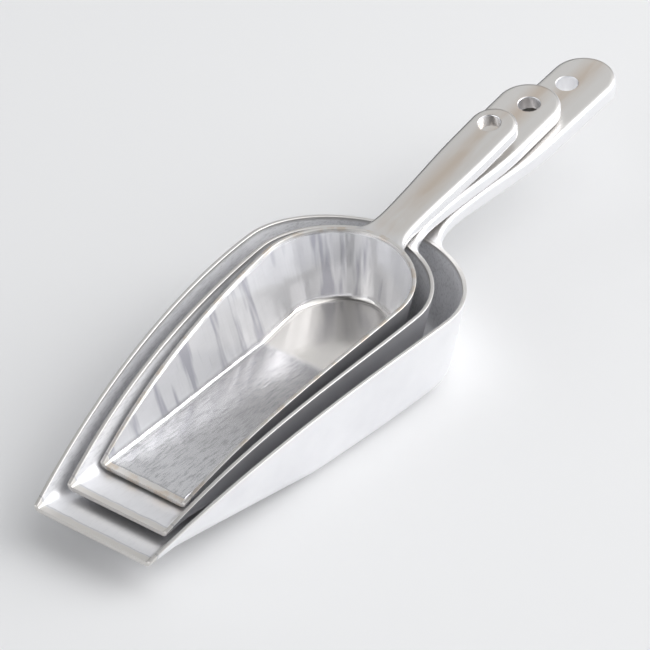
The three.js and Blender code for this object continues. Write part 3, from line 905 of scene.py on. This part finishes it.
def studio_air():
    """Air with soft patches and uneven upright bands, which the metal mirrors."""
    world = bpy.data.worlds.new("studio_air")
    make = NodeMaker(world)
    direction = make.add("TexCoord").outputs["Generated"]
    total = AIR_LEVEL
    for towards, start, full, gain in AIR_PATCHES:
        facing = make.add("VectorMath", {0: direction, 1: towards}, operation="DOT_PRODUCT")
        patch = make.add("MapRange", {"Value": facing.outputs["Value"], "From Min": start,
                                      "From Max": full, "To Min": 0.0, "To Max": gain},
                         interpolation_type="SMOOTHSTEP")
        total = make.math("ADD", total, patch.outputs["Result"])
    bands = make.noise(direction, (1, 1, 0.15), 5.0, 1.0, 0.5)
    dimmed = make.math("MULTIPLY", total, make.spread(bands, 0.42, 0.58, 0.62, 1.18))
    lit = make.math("MAXIMUM", dimmed, AIR_LEAST)
    seen = make.add("LightPath").outputs["Is Camera Ray"]
    strength = make.blend(seen, lit, AIR_BEHIND)
    background = make.add("Background", {"Color": AIR_COLOUR, "Strength": strength})
    make.add("OutputWorld", {"Surface": background.outputs["Background"]})
    return world


def add_camera(scene, studio):
    """The camera, level from side to side."""
    data = bpy.data.cameras.new("camera")
    data.lens = studio.lens
    data.sensor_width = SENSOR_WIDTH
    data.clip_end = CLIP_END
    camera = bpy.data.objects.new("camera", data)
    scene.collection.objects.link(camera)
    camera.location = studio.camera_place
    camera.rotation_euler = (math.pi / 2 - studio.camera_elevation, 0, studio.camera_azimuth)
    scene.camera = camera


# ---- Operators -------------------------------------------------------------------------------

class SCOOPS_OT_large(bpy.types.Operator):
    """Model the large scoop, which stands on the floor"""

    bl_idname = "scoops.large"
    bl_label = "Large scoop"

    def execute(self, context):
        scene = context.scene
        obj = make_scoop("large_casting", [scene.large_scoop])
        finish_scoop(obj, "large_scoop", "large",
                     cast_aluminium("large_metal", shine=0.34, dulling=0.1, wall_metal=0.15,
                                    wear_and_painted_light=0.1, painted_gap_shade=0.0))
        return {"FINISHED"}


class SCOOPS_OT_medium(bpy.types.Operator):
    """Model the medium scoop, which rests in the large one"""

    bl_idname = "scoops.medium"
    bl_label = "Medium scoop"

    def execute(self, context):
        scene = context.scene
        obj = make_scoop("medium_casting", [scene.large_scoop, scene.medium_scoop])
        finish_scoop(obj, "medium_scoop", "medium",
                     cast_aluminium("medium_metal", shine=0.34, dulling=0.1, wall_metal=0.2,
                                    wear_and_painted_light=0.1, painted_gap_shade=0.45))
        return {"FINISHED"}


class SCOOPS_OT_small(bpy.types.Operator):
    """Model the small scoop, which rests in the medium one"""

    bl_idname = "scoops.small"
    bl_label = "Small scoop"

    def execute(self, context):
        scene = context.scene
        obj = make_scoop("small_casting", [scene.large_scoop, scene.medium_scoop, scene.small_scoop])
        finish_scoop(obj, "small_scoop", "small",
                     cast_aluminium("small_metal", shine=0.12, dulling=0.12, wall_metal=0.5,
                                    wear_and_painted_light=0.9, painted_gap_shade=0.6))
        return {"FINISHED"}


class SCOOPS_OT_studio(bpy.types.Operator):
    """Set up the floor, the soft lights and the camera"""

    bl_idname = "scoops.studio"
    bl_label = "Studio"

    def execute(self, context):
        scene = context.scene
        add_floor(scene.studio_sizes)
        add_lights(scene)
        add_camera(scene, scene.studio_sizes)
        return {"FINISHED"}


class SCOOPS_PT_panel(bpy.types.Panel):
    """Lists the pieces and the studio"""

    bl_idname = "SCOOPS_PT_panel"
    bl_label = "Feed scoops"
    bl_space_type = "VIEW_3D"
    bl_region_type = "UI"
    bl_category = "Scoops"

    def draw(self, context):
        for operator in OPERATORS:
            self.layout.operator(operator.bl_idname)


OPERATORS = (SCOOPS_OT_large, SCOOPS_OT_medium, SCOOPS_OT_small, SCOOPS_OT_studio)
PROPERTIES = {
    "large_scoop": LargeScoopSizes,
    "medium_scoop": MediumScoopSizes,
    "small_scoop": SmallScoopSizes,
    "casting_sizes": CastingSizes,
    "metal_colours": MetalColours,
    "studio_sizes": StudioSizes,
}


def register():
    for group in PROPERTIES.values():
        bpy.utils.register_class(group)
    for cls in (*OPERATORS, SCOOPS_PT_panel):
        bpy.utils.register_class(cls)
    for name, group in PROPERTIES.items():
        setattr(bpy.types.Scene, name, bpy.props.PointerProperty(type=group))


def unregister():
    for name in PROPERTIES:
        delattr(bpy.types.Scene, name)
    for cls in reversed((*PROPERTIES.values(), *OPERATORS, SCOOPS_PT_panel)):
        bpy.utils.unregister_class(cls)


def main():
    register()
    bpy.ops.scoops.large()
    bpy.ops.scoops.medium()
    bpy.ops.scoops.small()
    bpy.ops.scoops.studio()


if __name__ == "__main__":
    main()
